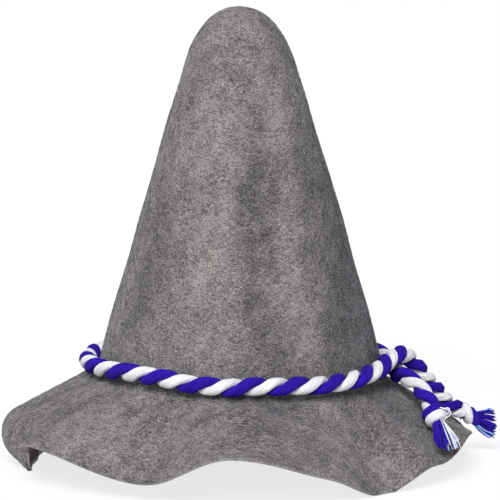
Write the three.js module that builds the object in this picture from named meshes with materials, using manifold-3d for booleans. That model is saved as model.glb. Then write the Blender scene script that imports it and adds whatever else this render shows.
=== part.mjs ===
// Alpine hat: a tall pointed crown and a wavy brim in one piece of felt, with a thick twisted cord laid
// round the foot of the crown, crossed over itself at the right-hand side and ended in two knots with
// short tassels. Millimetres, +Z up. The front faces -Y, and the brim's waves stand on z = 0.
import * as THREE from 'three';
import { mergeVertices } from 'three/addons/utils/BufferGeometryUtils.js';
import Module from 'manifold-3d';

const { degToRad, euclideanModulo } = THREE.MathUtils;

// The felt's middle layer, from the tip of the crown down to the brim. Heights in these tables are measured
// from a little below the floor that the brim stands on, and the finished hat is set down by that much.
const FELT = {
  wall: 2.4,
  floor: 2.4,
  height: 312.2,
  tipRadius: 28.5,
  tipFall: 48,
  shoulderRadius: 74,
  coneFall: 74,
  breakHeight: 66.5,
  breakTilt: 4,
  filletRadius: 9,
  floorBlend: 0.8,
  footing: 4.8,
  lip: 3,
};

// The middle layer's height where the felt rests on the floor.
const RESTING = FELT.floor + FELT.wall / 2;

// Where the crown's axis stands, measured from the middle of the brim.
const CROWN_AXIS = { x: 2.4, y: 5.1 };

// Turns below this are straight, steps of this size give a surface's direction, and points this near are
// one.
const STRAIGHT_TURN = 1e-6;
const SMALL_STEP = 0.004;
const SAME_POINT = 1e-4;

// The brim at stations round the hat: azimuth 0 is the right-hand side, 90 the back and 270 the front.
// From the crown outwards it falls at its slope, runs straight, bends through a turn and ends in a
// straight tail. A tail that reaches the floor stops at its footing past that, and its last part is the lip.
const BRIM = [
  { azimuth: 5, slope: 35, straight: 40, bend: 14, turn: 0, tail: 13 },
  { azimuth: 26, slope: 34, straight: 41, bend: 14, turn: 0, tail: 13 },
  { azimuth: 50, slope: 56, straight: 45, bend: 14, turn: 0, tail: 16 },
  { azimuth: 76, slope: 30, straight: 44, bend: 14, turn: 0, tail: 14 },
  { azimuth: 104, slope: 57, straight: 46, bend: 14, turn: 0, tail: 18 },
  { azimuth: 134, slope: 31, straight: 46, bend: 14, turn: 0, tail: 14 },
  { azimuth: 160, slope: 38, straight: 52, bend: 26, turn: 76, tail: 18 },
  { azimuth: 176, slope: 28, straight: 59, bend: 30, turn: 115, tail: 30 },
  { azimuth: 189, slope: 29, straight: 58, bend: 30, turn: 106, tail: 21 },
  { azimuth: 200, slope: 28, straight: 45, bend: 24, turn: 62, tail: 7 },
  { azimuth: 211, slope: 26, straight: 48, bend: 14, turn: 0, tail: 15.5 },
  { azimuth: 223, slope: 27, straight: 45, bend: 14, turn: 0, tail: 16 },
  { azimuth: 246, slope: 42, straight: 45, bend: 14, turn: 0, tail: 14 },
  { azimuth: 267, slope: 19, straight: 44, bend: 14, turn: 0, tail: 14 },
  { azimuth: 291, slope: 33, straight: 44, bend: 14, turn: 0, tail: 14 },
  { azimuth: 311, slope: 52, straight: 44, bend: 14, turn: 0, tail: 17 },
  { azimuth: 322, slope: 37, straight: 43, bend: 14, turn: 0, tail: 13 },
  { azimuth: 332, slope: 36, straight: 41, bend: 14, turn: 0, tail: 14 },
  { azimuth: 346, slope: 28, straight: 39, bend: 14, turn: 0, tail: 10.5 },
];

// Soft dents pressed into the crown: where the middle of each is, how many degrees and how much height it
// reaches both ways from there, and how deep it is. A bulge has a depth below zero.
const DENTS = [
  { azimuth: 283, height: 140, wide: 24, tall: 110, deep: 3 },
  { azimuth: 180, height: 255, wide: 60, tall: 45, deep: 0.7 },
  { azimuth: 0, height: 272, wide: 60, tall: 28, deep: 0.7 },
  { azimuth: 0, height: 160, wide: 60, tall: 90, deep: -0.6 },
];

// Columns of facets round the felt, and rows of them on its tip, shoulder, cone, fillet, straight, bend,
// tail and lip.
const FELT_COLUMNS = 84;
const FELT_ROWS = [3, 3, 4, 3, 3, 4, 3, 1];

// The cord's middle line round the crown's axis, from its near end, under the crossing, round the back,
// the left and the front, and over the crossing to its far end.
const CORD = { diameter: 11.6, sides: 10, steps: 80 };
const CORD_ROUTE = [
  { azimuth: -22.9, radius: 136.2, height: 53.2 },
  { azimuth: -20.2, radius: 128.2, height: 60.3 },
  { azimuth: -15.4, radius: 117, height: 64.8 },
  { azimuth: -6, radius: 107.8, height: 64.6 },
  { azimuth: 3, radius: 104.8, height: 65.3 },
  { azimuth: 13, radius: 104, height: 68.4 },
  { azimuth: 25, radius: 103.3, height: 70.5 },
  { azimuth: 40, radius: 103.2, height: 72 },
  { azimuth: 60, radius: 103.1, height: 73 },
  { azimuth: 85, radius: 103, height: 73.8 },
  { azimuth: 110, radius: 103, height: 73.6 },
  { azimuth: 135, radius: 103.1, height: 73 },
  { azimuth: 160, radius: 103.1, height: 72.8 },
  { azimuth: 180, radius: 102.9, height: 73 },
  { azimuth: 194, radius: 102.6, height: 73.8 },
  { azimuth: 208, radius: 102.4, height: 74.6 },
  { azimuth: 224, radius: 102, height: 76 },
  { azimuth: 239, radius: 102.1, height: 75.4 },
  { azimuth: 252, radius: 102.8, height: 72.9 },
  { azimuth: 264, radius: 103.2, height: 71.6 },
  { azimuth: 275, radius: 103, height: 72.1 },
  { azimuth: 287, radius: 103.2, height: 71.7 },
  { azimuth: 300, radius: 103.4, height: 70.9 },
  { azimuth: 311, radius: 103.4, height: 70.8 },
  { azimuth: 323, radius: 103.1, height: 72 },
  { azimuth: 335.5, radius: 102.6, height: 73.7 },
  { azimuth: 343, radius: 102.3, height: 75.2 },
  { azimuth: 350.5, radius: 104, height: 76.8 },
  { azimuth: 356, radius: 107.3, height: 77 },
  { azimuth: 360.7, radius: 111.5, height: 75.4 },
  { azimuth: 363.9, radius: 116.5, height: 71.1 },
  { azimuth: 366.3, radius: 122.8, height: 63 },
  { azimuth: 368, radius: 131.2, height: 53.2 },
  { azimuth: 369, radius: 138, height: 44.8 },
  { azimuth: 369.6, radius: 144.6, height: 38 },
  { azimuth: 369.9, radius: 148.9, height: 34.9 },
];

// A knot is a barrel of two wraps of the strand round the cord's end, its girth given from end to end.
const KNOT = { length: 13, sides: 14 };
const KNOT_GIRTHS = [
  { share: 0, radius: 5.6 },
  { share: 0.19, radius: 8 },
  { share: 0.35, radius: 8 },
  { share: 0.5, radius: 7.2 },
  { share: 0.65, radius: 8 },
  { share: 0.81, radius: 8 },
  { share: 1, radius: 5.6 },
];
const GAP = 0.3;

// A tassel's opened yarn: a head at the knot, and locks that fan out from it to an oval ring of tips. The
// spreads are shares of the fan's half-widths, at a lock's root and at the control point of its curve.
const TASSEL = {
  headRadius: 5.2,
  headSides: 12,
  headRows: 8,
  locks: 7,
  lockSides: 8,
  rootSpread: 0.3,
  bellyShare: 0.45,
  bellySpread: 0.75,
};
const LOCK_GIRTHS = [
  { share: 0, radius: 2.6 },
  { share: 0.4, radius: 3 },
  { share: 0.72, radius: 3 },
  { share: 1, radius: 1.3 },
];

// The two free ends: the knot's middle and the tassel's far end, round the crown's axis, and the half-
// widths of the fan, measured along its wide way and across it.
const ENDS = [
  {
    name: 'near',
    cordEnd: 'first',
    knot: [129.4, -59.6, 45.2],
    tip: [138.3, -82, 27.6],
    wideWay: [0.73, 0.64, -0.05],
    fan: { wide: 7.5, deep: 1.8 },
  },
  {
    name: 'far',
    cordEnd: 'last',
    knot: [156.6, 28, 29.8],
    tip: [173.4, 33.6, 22.8],
    wideWay: [-0.2, 0, 0.98],
    fan: { wide: 8, deep: 3 },
  },
];

// A point given round the crown's axis, its azimuth in degrees.
function roundAxis({ azimuth, radius, height }) {
  const angle = degToRad(azimuth);
  return new THREE.Vector3(radius * Math.cos(angle), radius * Math.sin(angle), height);
}

// A smooth closed curve through one of the brim's columns, read at an azimuth in degrees.
function brimAt(column, azimuth) {
  const count = BRIM.length;
  const place = euclideanModulo(azimuth - BRIM[0].azimuth, 360) + BRIM[0].azimuth;
  const station = (i) => BRIM[euclideanModulo(i, count)].azimuth + 360 * Math.floor(i / count);
  const value = (i) => BRIM[euclideanModulo(i, count)][column];
  const rate = (i) => (value(i + 1) - value(i - 1)) / (station(i + 1) - station(i - 1));
  const i = BRIM.findLastIndex((row) => row.azimuth <= place);
  const span = station(i + 1) - station(i);
  const t = (place - station(i)) / span;
  return (
    (2 * t ** 3 - 3 * t ** 2 + 1) * value(i) +
    (t ** 3 - 2 * t ** 2 + t) * span * rate(i) +
    (3 * t ** 2 - 2 * t ** 3) * value(i + 1) +
    (t ** 3 - t ** 2) * span * rate(i + 1)
  );
}

// Where an arc or a straight stretch of the felt's section stands after a share of its length. Its heading
// is the fall below level, in radians.
function along({ radius, height, heading, length, turn }, share) {
  const bent = heading + turn * share;
  if (Math.abs(turn) < STRAIGHT_TURN) {
    const run = length * share;
    return { radius: radius + run * Math.cos(heading), height: height - run * Math.sin(heading), heading };
  }
  const curve = length / turn;
  return {
    radius: radius + curve * (Math.sin(bent) - Math.sin(heading)),
    height: height + curve * (Math.cos(bent) - Math.cos(heading)),
    heading: bent,
  };
}

// The stretches of the felt's middle layer at one azimuth, from the tip to the brim's edge.
function feltSection(azimuth) {
  const slope = degToRad(brimAt('slope', azimuth));
  const tipFall = degToRad(FELT.tipFall);
  const coneFall = degToRad(FELT.coneFall);
  const top = { radius: 0, height: FELT.height - FELT.wall / 2, heading: 0 };
  const stretches = [{ ...top, length: FELT.tipRadius * tipFall, turn: tipFall }];
  const add = (length, turn) => stretches.push({ ...along(stretches.at(-1), 1), length, turn });
  add(FELT.shoulderRadius * (coneFall - tipFall), coneFall - tipFall);
  const coneFoot = FELT.breakHeight - FELT.breakTilt * Math.cos(degToRad(azimuth));
  add((along(stretches.at(-1), 1).height - coneFoot) / Math.sin(coneFall), 0);
  add(FELT.filletRadius * (coneFall - slope), slope - coneFall);
  add(brimAt('straight', azimuth), 0);
  add(brimAt('bend', azimuth), degToRad(brimAt('turn', azimuth)));
  const tailStart = along(stretches.at(-1), 1);
  const reach = (tailStart.height - RESTING) / Math.sin(tailStart.heading);
  add(Math.min(brimAt('tail', azimuth), reach + FELT.footing) - FELT.lip, 0);
  add(FELT.lip, 0);
  return stretches;
}

// The felt lies flat where it meets the surface that it stands on, with a soft bend before that.
function restOnFloor(height) {
  const lift = height - RESTING;
  if (lift > FELT.floorBlend) return height;
  return RESTING + Math.max(lift + FELT.floorBlend, 0) ** 2 / (4 * FELT.floorBlend);
}

// How far the crown's dents press it in at one place, each of them fading out towards its rim.
function dentDepth(azimuth, height) {
  let depth = 0;
  for (const dent of DENTS) {
    const across = (euclideanModulo(azimuth - dent.azimuth + 180, 360) - 180) / dent.wide;
    const up = (height - dent.height) / dent.tall;
    depth += dent.deep * Math.max(1 - across ** 2, 0) ** 2 * Math.max(1 - up ** 2, 0) ** 2;
  }
  return depth;
}

// A point of the felt's middle layer. The station counts the section's stretches, with the share of one
// after the dot.
function feltMiddle(station, azimuth) {
  const stretches = feltSection(azimuth);
  const index = Math.min(Math.floor(station), stretches.length - 1);
  const { radius, height } = along(stretches[index], station - index);
  return roundAxis({ azimuth, radius: radius - dentDepth(azimuth, height), height: restOnFloor(height) });
}

// The felt's outward direction, from small steps down its section and round the hat.
function feltOutward(station, azimuth) {
  if (station === 0) return new THREE.Vector3(0, 0, 1);
  const below = Math.min(station + SMALL_STEP, FELT_ROWS.length);
  const down = feltMiddle(below, azimuth).sub(feltMiddle(station - SMALL_STEP, azimuth));
  const round = feltMiddle(station, azimuth + SMALL_STEP).sub(feltMiddle(station, azimuth - SMALL_STEP));
  return down.cross(round).normalize();
}

// The felt: a flat disc of rows and columns with an under and an upper face, each point of it then moved
// to its place.
function feltBody() {
  const stations = [0];
  FELT_ROWS.forEach((rows, stretch) => {
    for (let row = 1; row <= rows; row += 1) stations.push(stretch + row / rows);
  });
  const under = stations.map((station) => new THREE.Vector2(station, -1));
  const upper = stations.map((station) => new THREE.Vector2(station, 1)).reverse();
  const blank = [...under, ...upper];
  const geometry = new THREE.LatheGeometry(blank, FELT_COLUMNS);
  const position = geometry.attributes.position;
  for (let i = 0; i < position.count; i += 1) {
    const column = Math.floor(i / blank.length) % FELT_COLUMNS;
    const azimuth = (360 * column) / FELT_COLUMNS;
    const { x: station, y: face } = blank[i % blank.length];
    const rise = feltOutward(station, azimuth).multiplyScalar((face * FELT.wall) / 2);
    position.setXYZ(i, ...feltMiddle(station, azimuth).add(rise));
  }
  geometry.computeVertexNormals();
  return geometry;
}

// A free end's own frame: the knot's middle, its axis away from the cord, and the places where cord and
// tassel meet it.
function endFrame(end) {
  const centre = new THREE.Vector3(...end.knot);
  const nearest = roundAxis(CORD_ROUTE.at(end.cordEnd === 'first' ? 0 : -1));
  const axis = centre.clone().sub(nearest).normalize();
  const reach = KNOT.length / 2 + GAP;
  return {
    centre,
    axis,
    cordStop: centre.clone().addScaledVector(axis, -reach),
    tasselStart: centre.clone().addScaledVector(axis, reach),
  };
}

// The cord: a plain tube along its route, ending squarely at the two knots.
function cord() {
  const [first, last] = ENDS.map((end) => endFrame(end).cordStop);
  const path = new THREE.CatmullRomCurve3([first, ...CORD_ROUTE.map(roundAxis), last]);
  const section = new THREE.Shape();
  for (let i = 0; i < CORD.sides; i += 1) {
    const angle = (2 * Math.PI * i) / CORD.sides;
    const corner = [(CORD.diameter / 2) * Math.cos(angle), (CORD.diameter / 2) * Math.sin(angle)];
    if (i === 0) section.moveTo(...corner);
    else section.lineTo(...corner);
  }
  return new THREE.ExtrudeGeometry(section, { steps: CORD.steps, extrudePath: path, bevelEnabled: false });
}

// A round solid on the Y axis, from its girths at shares of a length, with flat ends.
function turned(girths, length, sides) {
  const ends = [girths[0], girths.at(-1)].map(({ share }) => new THREE.Vector2(0, share * length));
  const outline = girths.map(({ share, radius }) => new THREE.Vector2(radius, share * length));
  return new THREE.LatheGeometry([ends[0], ...outline, ends[1]], sides);
}

// A knot: a barrel with a waist between its two wraps, its middle at the origin.
function knot() {
  return turned(KNOT_GIRTHS, KNOT.length, KNOT.sides).translate(0, -KNOT.length / 2, 0);
}

// A lock of yarn along a curve: thin at its root, fullest past the middle and tapered to its tip.
function lock(path) {
  const geometry = turned(LOCK_GIRTHS, 1, TASSEL.lockSides);
  const position = geometry.attributes.position;
  const spot = new THREE.Vector3();
  const turn = new THREE.Quaternion();
  for (let i = 0; i < position.count; i += 1) {
    spot.fromBufferAttribute(position, i);
    const share = spot.y;
    turn.setFromUnitVectors(THREE.Object3D.DEFAULT_UP, path.getTangent(share));
    spot.setY(0).applyQuaternion(turn).add(path.getPoint(share));
    position.setXYZ(i, ...spot);
  }
  return geometry;
}

const wasm = await Module();
wasm.setup();

// A closed geometry as a solid that can be joined.
function solid(geometry) {
  const plain = geometry.clone();
  plain.deleteAttribute('normal');
  plain.deleteAttribute('uv');
  const merged = mergeVertices(plain, SAME_POINT);
  return new wasm.Manifold(
    new wasm.Mesh({
      numProp: 3,
      vertProperties: new Float32Array(merged.attributes.position.array),
      triVerts: new Uint32Array(merged.index.array),
    }),
  );
}

// A joined solid as a geometry again.
function drawn(joined) {
  const { vertProperties, triVerts } = joined.getMesh();
  const geometry = new THREE.BufferGeometry();
  geometry.setAttribute('position', new THREE.BufferAttribute(vertProperties, 3));
  geometry.setIndex(new THREE.BufferAttribute(triVerts, 1));
  geometry.computeVertexNormals();
  return geometry;
}

// A tassel: a round head set against the knot, and one middle lock with the others in an oval ring round
// it, all fused to the head.
function tassel(end) {
  const { axis, tasselStart } = endFrame(end);
  const tip = new THREE.Vector3(...end.tip);
  const heart = tasselStart.clone().addScaledVector(axis, TASSEL.headRadius);
  const forward = tip.clone().sub(heart).normalize();
  const deepWay = forward.clone().cross(new THREE.Vector3(...end.wideWay)).normalize();
  const wideWay = deepWay.clone().cross(forward);
  const head = new THREE.SphereGeometry(TASSEL.headRadius, TASSEL.headSides, TASSEL.headRows);
  let body = solid(head.translate(...heart));
  for (let i = 0; i < TASSEL.locks; i += 1) {
    const ringPlace = (2 * Math.PI * i) / (TASSEL.locks - 1);
    const spread = i === TASSEL.locks - 1 ? 0 : 1;
    const offset = new THREE.Vector3()
      .addScaledVector(wideWay, spread * end.fan.wide * Math.cos(ringPlace))
      .addScaledVector(deepWay, spread * end.fan.deep * Math.sin(ringPlace));
    const root = heart.clone().addScaledVector(offset, TASSEL.rootSpread);
    const belly = heart.clone().lerp(tip, TASSEL.bellyShare).addScaledVector(offset, TASSEL.bellySpread);
    const path = new THREE.QuadraticBezierCurve3(root, belly, tip.clone().add(offset));
    body = body.add(solid(lock(path)));
  }
  return drawn(body);
}

// Every part is dull; only its colour and its roughness differ.
function dull(name, color, roughness) {
  return new THREE.MeshStandardMaterial({ name, color, roughness, metalness: 0 });
}

const MATERIALS = {
  felt: dull('grey_felt', 0x787576, 0.95),
  cord: dull('cord_yarn', 0x8c86c0, 0.85),
  white: dull('white_yarn', 0xe9e8ee, 0.85),
  blue: dull('blue_yarn', 0x2c1896, 0.85),
};

function named(name, geometry, material) {
  const mesh = new THREE.Mesh(geometry, material);
  mesh.name = name;
  return mesh;
}

const hat = new THREE.Group();
hat.name = 'alpine_hat';
hat.position.set(CROWN_AXIS.x, CROWN_AXIS.y, -FELT.floor);
hat.add(named('felt_body', feltBody(), MATERIALS.felt));
hat.add(named('cord', cord(), MATERIALS.cord));
for (const end of ENDS) {
  const { centre, axis } = endFrame(end);
  const barrel = named(`knot_${end.name}`, knot(), MATERIALS.white);
  barrel.position.copy(centre);
  barrel.quaternion.setFromUnitVectors(THREE.Object3D.DEFAULT_UP, axis);
  hat.add(barrel, named(`tassel_${end.name}`, tassel(end), MATERIALS.blue));
}

export default hat;
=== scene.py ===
"""Alpine hat: heather felt in one piece, a thick twisted cord, wrapped knots, yarn tassels and a pale studio.

Metres, +Z up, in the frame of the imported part: the front faces -Y and the brim stands on z = 0.
"""

import bisect
import logging
import math
import random
from dataclasses import dataclass, field
from enum import Enum
from functools import cache
from typing import Callable, Iterator, Sequence, TypeVar

import bmesh
import bpy
import numpy as np
from mathutils import Euler, Matrix, Vector, noise


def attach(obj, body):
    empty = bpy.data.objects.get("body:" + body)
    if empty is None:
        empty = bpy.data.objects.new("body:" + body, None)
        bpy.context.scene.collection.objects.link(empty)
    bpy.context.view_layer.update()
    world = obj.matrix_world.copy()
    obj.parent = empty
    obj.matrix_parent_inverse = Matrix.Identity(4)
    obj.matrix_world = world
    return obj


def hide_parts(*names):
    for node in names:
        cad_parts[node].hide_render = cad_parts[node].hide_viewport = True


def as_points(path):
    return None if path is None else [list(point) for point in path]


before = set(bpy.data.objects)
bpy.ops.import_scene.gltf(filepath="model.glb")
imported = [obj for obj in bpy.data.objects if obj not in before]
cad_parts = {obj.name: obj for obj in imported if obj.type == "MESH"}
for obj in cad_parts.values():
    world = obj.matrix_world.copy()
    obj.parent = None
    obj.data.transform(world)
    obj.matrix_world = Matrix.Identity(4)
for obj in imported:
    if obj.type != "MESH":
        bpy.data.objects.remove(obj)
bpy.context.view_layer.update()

LOG = logging.getLogger("alpine_hat")
BODY = "root"
FULL_TURN = 2 * math.pi
# Name of the felt's attribute that carries its dye together with painted shade and painted light.
SHADE = "shade"
# The felt's and the cord's heights are counted from a plane that lies this far below the floor.
FLOOR = 0.0024
CROWN_AXIS = Vector((0.0024, 0.0051, -FLOOR))
NOISE_MIDDLE = 0.5
NOISE_ROUGHNESS = 0.55
STRAIGHT_TURN = 1e-6
BLANK_GAP = 1e-4
WELD_GAP = 1e-7
TINY = 1e-9
SPINDLE_SIDES = 3
RIDGE_MIDDLE = 0.6

Triple = tuple[float, float, float]
Colour = Triple
Loop = tuple[Triple, Triple, Triple]
SurfacePoint = tuple[Vector, tuple[float, float]]
Value = TypeVar("Value", float, Vector)

UNTURNED: Triple = (0.0, 0.0, 0.0)
UPWARD: Triple = (0.0, 0.0, 1.0)
WHITE: Colour = (1.0, 1.0, 1.0)


class Yarn(Enum):
    """The yarns that the cord, its knots and its tassels are made of."""

    BLUE = 0
    WHITE = 1
    PALE = 2


class Coordinates(Enum):
    """The coordinates that a finish's pattern follows."""

    OBJECT = "Object"
    UV = "UV"


@dataclass(frozen=True)
class Surface:
    """How a finish takes the light; the bump's depth is in metres."""

    roughness: float
    gloss: float
    bump_depth: float
    sheen: float = 0.0
    sheen_roughness: float = 0.5


class Signal:
    """A value in a shader, whose operators add Math nodes."""

    def __init__(self, board: "NodeBoard", socket: bpy.types.NodeSocket) -> None:
        """Wraps an output socket of a node on the board."""
        self.board = board
        self.socket = socket

    def _math(self, operation: str, first: object, second: object) -> "Signal":
        """Adds one Math node.

        Args:
            operation: The Math node's operation.
            first: The first value or signal.
            second: The second value or signal.

        Returns:
            The node's result.
        """
        return self.board.add("ShaderNodeMath", {"operation": operation}, {0: first, 1: second})

    def __add__(self, other: object) -> "Signal":
        """This value plus another."""
        return self._math("ADD", self, other)

    def __radd__(self, other: object) -> "Signal":
        """Another value plus this one."""
        return self._math("ADD", other, self)

    def __sub__(self, other: object) -> "Signal":
        """This value less another."""
        return self._math("SUBTRACT", self, other)

    def __rsub__(self, other: object) -> "Signal":
        """Another value less this one."""
        return self._math("SUBTRACT", other, self)

    def __mul__(self, other: object) -> "Signal":
        """This value times another."""
        return self._math("MULTIPLY", self, other)

    def __rmul__(self, other: object) -> "Signal":
        """Another value times this one."""
        return self._math("MULTIPLY", other, self)

    def rising(self, low: float, high: float) -> "Signal":
        """A smooth step.

        Args:
            low: The value where it leaves 0.
            high: The value where it reaches 1.

        Returns:
            The step's value.
        """
        settings = {"interpolation_type": "SMOOTHSTEP"}
        sockets = {"Value": self, "From Min": low, "From Max": high}
        return self.board.add("ShaderNodeMapRange", settings, sockets)


class NodeBoard:
    """The nodes of one material."""

    def __init__(self, name: str) -> None:
        """Starts a material without nodes.

        Args:
            name: The material's name.
        """
        self.material = bpy.data.materials.new(name)
        self.material.use_nodes = True
        self.tree = self.material.node_tree
        self.tree.nodes.clear()

    def add(
        self,
        kind: str,
        settings: dict[str, object] | None = None,
        sockets: dict[str | int, object] | None = None,
        output: str | int = 0,
    ) -> Signal:
        """Adds a node, sets it and links it.

        Args:
            kind: The node's type.
            settings: The node's own properties, set before its sockets; "stops" are a ramp's.
            sockets: Values or signals, by a socket's identifier, name or index.
            output: The identifier, name or index of the output that is used.

        Returns:
            The chosen output.
        """
        node = self.tree.nodes.new(kind)
        for key, value in (settings or {}).items():
            if key == "stops":
                self._set_stops(node.color_ramp, value)
            else:
                setattr(node, key, value)
        for key, value in (sockets or {}).items():
            socket = self._find(node.inputs, key)
            if isinstance(value, Signal):
                self.tree.links.new(value.socket, socket)
            else:
                socket.default_value = value
        return Signal(self, self._find(node.outputs, output))

    @staticmethod
    def _find(sockets: Sequence[bpy.types.NodeSocket], key: str | int) -> bpy.types.NodeSocket:
        """Looks up a socket.

        Args:
            sockets: A node's inputs or outputs.
            key: The socket's index, identifier or name.

        Returns:
            The socket.
        """
        if isinstance(key, int):
            return sockets[key]
        for socket in sockets:
            if socket.identifier == key:
                return socket
        return sockets[key]

    @staticmethod
    def _set_stops(ramp: bpy.types.ColorRamp, stops: Sequence[tuple[float, Colour]]) -> None:
        """Gives a ramp its stops.

        Args:
            ramp: The ramp.
            stops: A position and a colour for each.
        """
        while len(ramp.elements) < len(stops):
            ramp.elements.new(1.0)
        for element, (position, colour) in zip(ramp.elements, stops):
            element.position = position
            element.color = (*colour, 1.0)

    def place(self, kind: Coordinates) -> Signal:
        """The surface's coordinates of that kind."""
        return self.add("ShaderNodeTexCoord", None, None, kind.value)

    def mixed(self, factor: object, first: object, second: object) -> Signal:
        """Mixes two colours.

        Args:
            factor: How much of the second shows.
            first: A colour or a signal.
            second: A colour or a signal.

        Returns:
            The mixed colour.
        """
        settings = {"data_type": "RGBA", "blend_type": "MIX"}
        sockets = {"Factor_Float": factor, "A_Color": full_colour(first), "B_Color": full_colour(second)}
        return self.add("ShaderNodeMix", settings, sockets, "Result_Color")

    def grain(self, place: Signal, turn: Triple, scale: Triple, detail: float = 1.0) -> Signal:
        """Noise that is drawn out along one way.

        Args:
            place: The coordinates that it reads.
            turn: The pattern's turn about the three axes, in radians.
            scale: Grains in each metre along the pattern's own axes.
            detail: Octaves of finer noise.

        Returns:
            A value about one half.
        """
        turned = self.add(
            "ShaderNodeMapping",
            {"vector_type": "TEXTURE"},
            {"Vector": place, "Rotation": turn, "Scale": tuple(1 / each for each in scale)},
        )
        sockets = {"Vector": turned, "Scale": 1.0, "Detail": detail, "Roughness": NOISE_ROUGHNESS}
        return self.add("ShaderNodeTexNoise", None, sockets, "Fac")

    def cover(
        self, colour: object, surface: Surface, height: Signal, glow: float = 0.0
    ) -> bpy.types.Material:
        """Ends the board in a Principled shader with a bump.

        Args:
            colour: A colour or a signal.
            surface: How the finish takes the light.
            height: The bump's height, from 0 to 1.
            glow: The strength of its own white light.

        Returns:
            The finished material.
        """
        relief = {"Height": height, "Strength": 1.0, "Distance": surface.bump_depth}
        bump = self.add("ShaderNodeBump", None, relief)
        sockets = {
            "Base Color": full_colour(colour),
            "Roughness": surface.roughness,
            "Specular IOR Level": surface.gloss,
            "Sheen Weight": surface.sheen,
            "Sheen Roughness": surface.sheen_roughness,
            "Emission Color": full_colour(WHITE),
            "Emission Strength": glow,
            "Normal": bump,
        }
        shader = self.add("ShaderNodeBsdfPrincipled", None, sockets)
        end = self.tree.nodes.new("ShaderNodeOutputMaterial")
        self.tree.links.new(shader.socket, end.inputs["Surface"])
        return self.material


def full_colour(value: object) -> object:
    """A colour with its alpha, or the signal that stands for one."""
    return value if isinstance(value, Signal) else (*value, 1.0)


@dataclass(frozen=True)
class FeltFinish:
    """Heather felt: dark, grey and pale fibres pressed together, with cloudy patches."""

    dark: Colour = (0.048, 0.044, 0.046)
    middle: Colour = (0.156, 0.146, 0.146)
    pale: Colour = (0.305, 0.291, 0.283)
    fibre_turns: tuple[Triple, ...] = (
        (0.2, 0.3, 0.0),
        (1.1, -0.4, 0.4),
        (0.4, 0.8, 1.2),
        (2.0, -0.2, 2.0),
        (0.8, 0.2, -0.5),
        (1.6, -0.9, 1.6),
    )
    fibre_scale: Triple = (170.0, 1500.0, 1500.0)
    speck_scale: Triple = (700.0, 700.0, 700.0)
    cloud_turn: Triple = (0.3, 0.1, 0.4)
    cloud_scale: Triple = (34.0, 34.0, 14.0)
    patch_turn: Triple = (0.0, 0.6, 1.0)
    patch_scale: Triple = (110.0, 110.0, 70.0)
    detail: float = 2.0
    fibre_share: float = 0.84
    cloud_share: float = 0.84
    patch_share: float = 0.70
    surface: Surface = Surface(0.95, 0.10, 0.00022, sheen=0.04, sheen_roughness=0.6)

    def material(self) -> bpy.types.Material:
        """Makes the felt's material.

        Returns:
            The new material.
        """
        board = NodeBoard("grey_felt")
        place = board.place(Coordinates.OBJECT)
        fibres = board.grain(place, UNTURNED, self.speck_scale, self.detail) - NOISE_MIDDLE
        for turn in self.fibre_turns:
            fibres = fibres + (board.grain(place, turn, self.fibre_scale) - NOISE_MIDDLE)
        clouds = board.grain(place, self.cloud_turn, self.cloud_scale, self.detail) - NOISE_MIDDLE
        patches = board.grain(place, self.patch_turn, self.patch_scale, self.detail) - NOISE_MIDDLE
        # The felt's dye with painted shade and painted light, and the inner face's painted light, from the
        # shade attribute.
        dye_and_painted_shade = board.add("ShaderNodeAttribute", {"attribute_name": SHADE}, None, "Fac")
        tone = fibres * self.fibre_share + clouds * self.cloud_share + patches * self.patch_share
        tone = tone + dye_and_painted_shade + NOISE_MIDDLE
        stops = ((0.0, self.dark), (NOISE_MIDDLE, self.middle), (1.0, self.pale))
        colour = board.add("ShaderNodeValToRGB", {"stops": stops}, {"Fac": tone}, "Color")
        return board.cover(colour, self.surface, fibres + NOISE_MIDDLE)


@dataclass(frozen=True)
class FibreFinish:
    """One kind of loose wool fibre on the felt, and its share of them all."""

    name: str
    colour: Colour
    share: float
    scale: Triple = (900.0, 900.0, 900.0)
    surface: Surface = Surface(0.9, 0.08, 0.0001, sheen=0.1)

    def material(self) -> bpy.types.Material:
        """Makes the fibre's material, or finds it where it is made already.

        Returns:
            The material.
        """
        if self.name in bpy.data.materials:
            return bpy.data.materials[self.name]
        board = NodeBoard(self.name)
        height = board.grain(board.place(Coordinates.OBJECT), UNTURNED, self.scale)
        return board.cover(self.colour, self.surface, height)


FIBRES = (
    FibreFinish("pale_fibre", (0.340, 0.325, 0.320), 0.42),
    FibreFinish("dark_fibre", (0.040, 0.036, 0.038), 0.40),
    FibreFinish("violet_fibre", (0.190, 0.175, 0.245), 0.18),
)


@dataclass(frozen=True)
class YarnFinish:
    """Soft spun yarn: fine fibres along the thread, in one colour."""

    name: str
    colour: Colour
    shade: Colour
    surface: Surface = Surface(0.9, 0.06, 0.0002, sheen=0.12)
    fibre_turn: Triple = (0.0, 0.0, 0.06)
    fibre_scale: Triple = (160.0, 2600.0, 1.0)
    fibre_detail: float = 2.0
    fibre_share: float = 0.6
    thread_scale: Triple = (70.0, 700.0, 1.0)
    thread_share: float = 0.4
    shaded_up_to: float = 0.38
    full_from: float = 0.62

    def material(self) -> bpy.types.Material:
        """Makes the yarn's material, whose UV map runs along and round the thread in metres.

        Returns:
            The new material.
        """
        board = NodeBoard(self.name)
        place = board.place(Coordinates.UV)
        fibres = board.grain(place, self.fibre_turn, self.fibre_scale, self.fibre_detail)
        threads = board.grain(place, UNTURNED, self.thread_scale)
        depth = fibres * self.fibre_share + threads * self.thread_share
        colour = board.mixed(depth.rising(self.shaded_up_to, self.full_from), self.shade, self.colour)
        return board.cover(colour, self.surface, fibres)


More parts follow.
